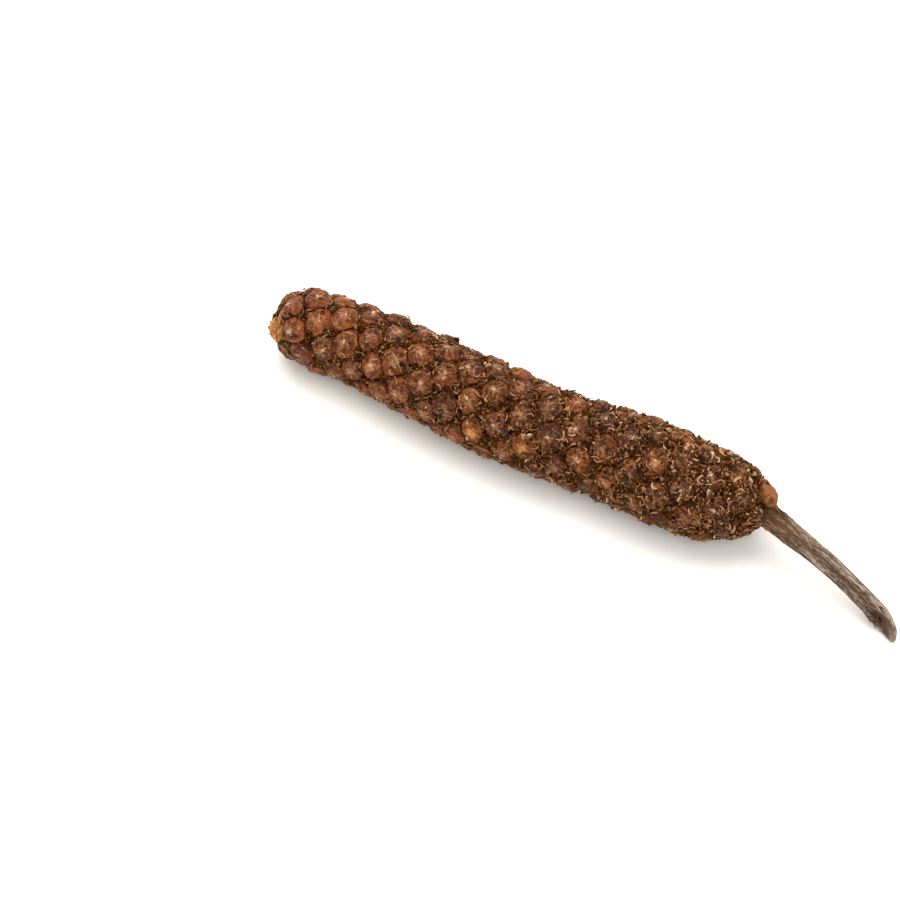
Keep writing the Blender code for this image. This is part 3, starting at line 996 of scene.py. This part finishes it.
def stemNoise(turns, lengthwise, fineness, stretch, shift):  # noise drawn out along the stem
    around = stem["radius"] * fineness
    return np.array([noise.noise(Vector((math.cos(t) * around, math.sin(t) * around, z / stretch + shift)))
                     for t, z in zip(turns, lengthwise)])


def turnFrom(turns, turn):  # how far round each lies from a turn, at most half a circle
    return np.abs(np.angle(np.exp(1j * (turns - turn))))


def makeStem(shape):
    sections, sides, steps = stem["sections"], stem["sides"], stem["steps"]
    turns = np.arange(sides) / sides * math.tau
    index = np.arange(steps + 1)
    line, thickness = stemLine(index / steps)
    totalLength = np.linalg.norm(np.diff(line, axis=0), axis=1).sum()
    tangents, side, up = stemFrames(line)
    tear = np.exp(-((turnFrom(turns, stem["tornTurn"]) / stem["tornWidth"]) ** 4))
    jagged = stemNoise(turns, np.zeros(sides), 4.0, 1.0, 4.0)
    reach = 1 - stem["tornLength"] * tear * (1 + 0.2 * jagged) - 0.012 * (1 + jagged)
    points, turnOf, lengthOf, shareOf = [], [], [], []
    for share in np.linspace(0, 1, sections):
        at = share * reach * steps
        middle, sideHere, upHere = [np.stack([np.interp(at, index, of[:, i]) for i in range(3)], axis=1)
                                    for of in (line, side, up)]
        radius = stem["radius"] * np.interp(at, index, thickness)
        tapered = np.clip((share - stem["taperFrom"]) / (1 - stem["taperFrom"]), 0, 1)
        radius = radius * (1 - stem["endTaper"] * tapered**2)
        points.append(middle + (sideHere * np.cos(turns)[:, None] + upHere * np.sin(turns)[:, None])
                      * radius[:, None])
        turnOf.append(turns)
        lengthOf.append(share * reach * totalLength)
        shareOf.append(np.full(sides, share))
    points, turnOf, lengthOf, shareOf = [np.concatenate(part)
                                         for part in (points, turnOf, lengthOf, shareOf)]
    away = points - np.repeat(points.reshape(sections, sides, 3).mean(1), sides, axis=0)
    away /= np.linalg.norm(away, axis=1)[:, None]
    noises = [stemNoise(turnOf, lengthOf, *stem[name]) for name in ("coarse", "fibres", "grainy")]
    atRoot, gained = stem["furrowWidth"]
    furrow = np.exp(-((turnFrom(turnOf, stem["furrowTurn"]) / (atRoot + gained * shareOf)) ** 2))
    relief = np.dot(stem["relief"], noises) - stem["furrowDepth"] * furrow * shareOf
    points = points + away * relief[:, None]
    paleSide = np.cos(turnOf - stem["paleSideTurn"])
    onTongue = np.clip((shareOf - stem["tongueFrom"]) / (1 - stem["tongueFrom"]), 0, 1)
    bent = np.exp(-((turnFrom(turnOf, stem["tongueTurn"]) / stem["tongueWidth"]) ** 4)) * onTongue
    points = points + (bent**2)[:, None] * np.array(stem["tongueBend"])
    rim = points[-sides:]
    heart = rim.mean(0)
    inward = -tangents[-12]
    knob = bent[-sides:, None]  # the far side's end is thick and rounded, and keeps its bark
    across = middle + knob**2 * np.array(stem["tongueBend"]) - rim
    closing, bare = [], []
    for size, depth, into, bulge in stem["breakRings"]:
        torn = heart + (rim - heart) * size + inward * depth
        torn = torn + inward * (stem["hollowRoughness"] * roughness(torn, 0.18, 2.0))[:, None]
        closing.append(torn * (1 - knob) + (rim + across * into - inward * bulge) * knob)
        bare.append(1 - knob[:, 0] * (bulge > 0))
    ends = [points[:sides].mean(0), heart + inward * stem["hollowDepth"]]
    smooth = np.ones(len(closing) * sides)
    stringy = np.dot(stem["greyness"], [*noises, paleSide])
    addTo(shape, np.vstack([points, *closing, ends]), closedFaces(sections + len(closing), sides),
          broken=np.concatenate([np.zeros(len(points)), *bare, [0, 1]]),
          fibre=np.concatenate([stringy, smooth * 0.3, [0, 0.3]]),
          furrow=np.concatenate([furrow, *bare, [0, 1]]), share=np.concatenate([shareOf, smooth, [0, 1]]))


# Fibres that the spike's base left on the stalk's root, and a few splinters at its break
fibreLook = {
    "count": 70,
    "start": (1.0, 2.6),  # from the root, in mm
    "length": (0.6, 2.2),
    "width": (0.05, 0.13),
    "thickness": 0.05,
    "steps": 7,
    "drift": 0.25,
    "lift": 0.1,
    "clearance": 0.02,
    "tints": (0.1, 0.8),
    "splinters": 12,
    "splinterStart": (1.4, 3.0),  # back from the end
    "splinterLength": (0.25, 0.6),
    "splinterTurn": (0.7, 1.3),  # to either side of the tear
    "seed": 71,
}


def makeFibres(shape):
    look = fibreLook
    draw = random.Random(look["seed"])
    index = np.arange(stem["steps"] + 1)
    line, thickness = stemLine(index / stem["steps"])
    lengths = np.concatenate([[0], np.cumsum(np.linalg.norm(np.diff(line, axis=0), axis=1))])
    _, side, up = stemFrames(line)
    spans = [(draw.uniform(*look["start"]), draw.uniform(*look["length"]), draw.uniform(0, math.tau))
             for _ in range(look["count"])]
    spans += [(lengths[-1] - draw.uniform(*look["splinterStart"]), draw.uniform(*look["splinterLength"]),
               stem["tornTurn"] + draw.choice((-1, 1)) * draw.uniform(*look["splinterTurn"]))
              for _ in range(look["splinters"])]
    for start, length, turn in spans:
        drift = draw.uniform(-look["drift"], look["drift"])
        wide, lift = draw.uniform(*look["width"]), draw.uniform(0.0, look["lift"])
        points, ups, widths = [], [], []
        for t in np.linspace(0, 1, look["steps"]):
            at = np.interp(start + length * t, lengths, index)
            middle, sideHere, upHere, thick = [
                np.array([np.interp(at, index, column) for column in np.atleast_2d(of.T)])
                for of in (line, side, up, thickness)]
            away = sideHere * math.cos(turn + drift * t) + upHere * math.sin(turn + drift * t)
            points.append(middle + away * (stem["radius"] * thick[0] + look["clearance"] + lift * t * t))
            before = int(min(at, stem["steps"] - 1))
            ups.append(unit(np.cross(away, line[before + 1] - line[before])))
            widths.append(wide * (1 - 0.85 * t**2))
        addRibbon(shape, points, np.array(ups), widths, look["thickness"],
                  tint=draw.uniform(*look["tints"]))


# Bark: thin, dry and matt, with cells that split into grey flecks; brown at the root and in the furrow,
# with painted shade where the root goes in among the berries
barkLook = {
    "colours": ((0.25, "#32231a"), (0.4, "#524031"), (0.52, "#6b5a4a"), (0.64, "#837566"),
                (0.8, "#a19486")),
    "furrow": "#45291b",
    "root": "#5c3c1c",
    "rootRecessShade": "#2b1708",
    # painted shade where the root goes in among the berries
    "torn": "#4b3224",
    "speckSize": 0.16,
    "speckDepth": 0.06,
    "shader": {"Roughness": 0.78, "Specular IOR Level": 0.3},
}


def stemBark():
    material, tree, shader = newMaterial("weatheredBark", barkLook)
    place = addNode(tree, "TexCoord", out="Object")
    fibre, furrow, broken, share = [addNode(tree, "Attribute", out="Fac", attribute_name=name)
                                    for name in ("fibre", "furrow", "broken", "share")]
    speck = addNode(tree, "TexNoise", {"Vector": place, "Scale": grain(barkLook["speckSize"]), "Detail": 7,
                                       "Roughness": 0.75})
    level = addNode(tree, "Math", [fibre, 0.4, speck], operation="MULTIPLY_ADD")
    colour = addNode(tree, "ValToRGB", [level], barkLook["colours"])
    furrowed = addNode(tree, "Math", [furrow, 0.75], operation="MULTIPLY")
    rooted = addNode(tree, "MapRange", [share, 0.18, 0.55, 0.75, 0])
    # painted shade where the root goes in among the berries
    rootRecessShaded = addNode(tree, "MapRange", [share, 0.13, 0.26, 0.8, 0])
    torn = addNode(tree, "Math", [broken, 0.85], operation="MULTIPLY")
    for mask, name in ((furrowed, "furrow"), (rooted, "root"), (rootRecessShaded, "rootRecessShade"), (torn, "torn")):
        colour = addNode(tree, "Mix", {"Factor": mask, "A": colour, "B": hexToLinear(barkLook[name])},
                         out="Result", data_type="RGBA")
    tree.links.new(colour, shader.inputs["Base Color"])
    bump = addNode(tree, "Bump", {"Height": speck, "Strength": 0.7,
                                  "Distance": barkLook["speckDepth"] * mm})
    tree.links.new(bump, shader.inputs["Normal"])
    return material


# Floor and light: a pale card under a large soft light from behind and to the left, with the room's fill
studio = {
    "floorSize": 1.6,  # lengths here in metres
    "floorColour": "#fcfbf8",
    "shader": {"Roughness": 0.9},
    "keySize": 0.45,
    "keyPower": 1.9,
    "keyFrom": (-0.1, 0.14, 0.34),
    "fillSize": 0.3,
    "fillPower": 0.5,
    "fillFrom": (0.16, -0.2, 0.22),
    "sky": 0.76,
    "skyColour": "#fffdf6",
}


def addLight(name):
    light = bpy.data.lights.new(name + "Light", "AREA")
    light.size = studio[name + "Size"]
    light.energy = studio[name + "Power"]
    lamp = bpy.data.objects.new(name + "Light", light)
    lamp.location = studio[name + "From"]
    lamp.rotation_euler = lamp.location.to_track_quat("Z", "Y").to_euler()
    bpy.context.scene.collection.objects.link(lamp)


def setStudio():
    bpy.ops.mesh.primitive_plane_add(size=studio["floorSize"], location=(0, 0, 0))
    floor = bpy.context.object
    floor.name = "floor"
    material, _, shader = newMaterial("paleCard", studio)
    shader.inputs["Base Color"].default_value = hexToLinear(studio["floorColour"])
    floor.data.materials.append(material)
    addLight("key")
    addLight("fill")
    world = bpy.data.worlds.new("studioAir")
    world.use_nodes = True
    background = world.node_tree.nodes["Background"]
    background.inputs["Color"].default_value = hexToLinear(studio["skyColour"])
    background.inputs["Strength"].default_value = studio["sky"]
    bpy.context.scene.world = world
    bpy.context.scene.view_settings.view_transform = "Standard"


def surfaceFinder(shapes, above=1.2, farthest=4.0):  # finds the skin under a point that hangs over it
    points, faces, count = [], [], 0
    for shape in shapes:
        points += np.concatenate(shape["points"]).tolist()
        faces += [tuple(i + count for i in face) for face in shape["faces"]]
        count += shape["count"]
    tree = BVHTree.FromPolygons(points, faces)

    def dropOn(point, outward):
        way = Vector(-outward)
        hit, normal, _, _ = tree.ray_cast(Vector(point + outward * above), way, farthest)
        if hit is None:
            return None, None
        if normal.dot(way) > 0:
            normal = -normal
        return np.array(hit), np.array(normal)

    return dropOn


setCamera()
setStudio()
print("camera and light are set")

berries = placeBerries()
berryShapes, coreShape = [newShape() for _ in range(berryLook["pieces"])], newShape()
for berry in berries:
    if berry["drawn"]:
        makeBerry(berry, berries, berryShapes[berry["number"] * berryLook["pieces"] // berryCount])
makeCore(coreShape)
print("berries are shaped:", sum(b["drawn"] for b in berries))

dropOn = surfaceFinder([*berryShapes, coreShape])
bractShape, shredShape, scarShape, crumbShape, flakeShape = [newShape() for _ in range(5)]
bractDraw = random.Random(bractLook["seed"])
shredDraw = random.Random(shredLook["seed"])
scarDraw = random.Random(scarLook["seed"])
for berry in berries:
    number = berry["number"] + bractLook["pitStep"]
    if number < berryCount - bractLook["bareEnd"]:
        skin, outward = skinPoint(stationOf(number), berry["turn"] + bractLook["pitTurn"])
        hit, _ = dropOn(skin, outward)
        makeBract(hit + outward * bractLook["lift"], outward, bractDraw, bractShape, bractLook["tilt"])
    if not berry["drawn"]:
        continue
    share = berry["share"]
    extra = bractLook["extraAtTip"] * (1 - share) + bractLook["extraAtBase"] * share
    for _ in range(int(extra + bractDraw.random())):
        turn = bractDraw.uniform(0, math.tau)
        away = berry["along"] * math.cos(turn) + berry["around"] * math.sin(turn)
        start = berry["top"] + away * bractDraw.uniform(*bractLook["extraReach"])
        hit, normal = dropOn(start, berry["outward"])
        if hit is not None and normal @ berry["outward"] > 0.3:
            place = hit + normal * bractLook["lift"]
            makeBract(place, normal, bractDraw, bractShape, bractLook["extraTilt"])
    if not berry["plump"]:
        count = shredLook["atTip"] * (1 - share) + shredLook["atBase"] * share
        makeShreds(berry, shredLook, count, shredDraw, shredShape, dropOn)
        makeShreds(berry, curlLook, curlLook["most"] * share**1.5, shredDraw, shredShape, dropOn)
    if berry["scar"]:
        makeScar(berry, scarDraw, scarShape, dropOn)
cap = dict(nearestBerry(berries, berryLook["capPixel"]))
cap["top"] = cap["top"] + viewAxes()[1] * capLook["shift"]
makeShreds(cap, capLook, capLook["count"], shredDraw, shredShape, dropOn)
makeStray(nearestBerry(berries, strayLook["pixel"]), shredShape, dropOn)
makeFlakes(flakeShape, dropOn)
makeCrumbs(crumbShape, dropOn)
print("bracts, shreds, scars, flakes and crumbs are shaped")

stemShape, fibreShape = newShape(), newShape()
makeStem(stemShape)
makeFibres(fibreShape)
print("stalk is shaped")

skin, tissue = drupeSkin(), paperyTissue()
for i, shape in enumerate(berryShapes):
    makePiece(f"berries{i + 1}", shape, skin, "fruit_spike")
makePiece("pitFloor", coreShape, pitPith(), "fruit_spike")
makePiece("bracts", bractShape, bractScale(), "fruit_spike")
makePiece("paperyShreds", shredShape, tissue, "fruit_spike")
makePiece("stigmaScars", scarShape, scarCork(), "fruit_spike")
makePiece("huskFlakes", flakeShape, tissue, "fruit_spike")
makePiece("crumbs", crumbShape, tissue, "fruit_spike")
makePiece("stalkBark", stemShape, stemBark(), "stalk")
makePiece("stalkFibres", fibreShape, tissue, "stalk")
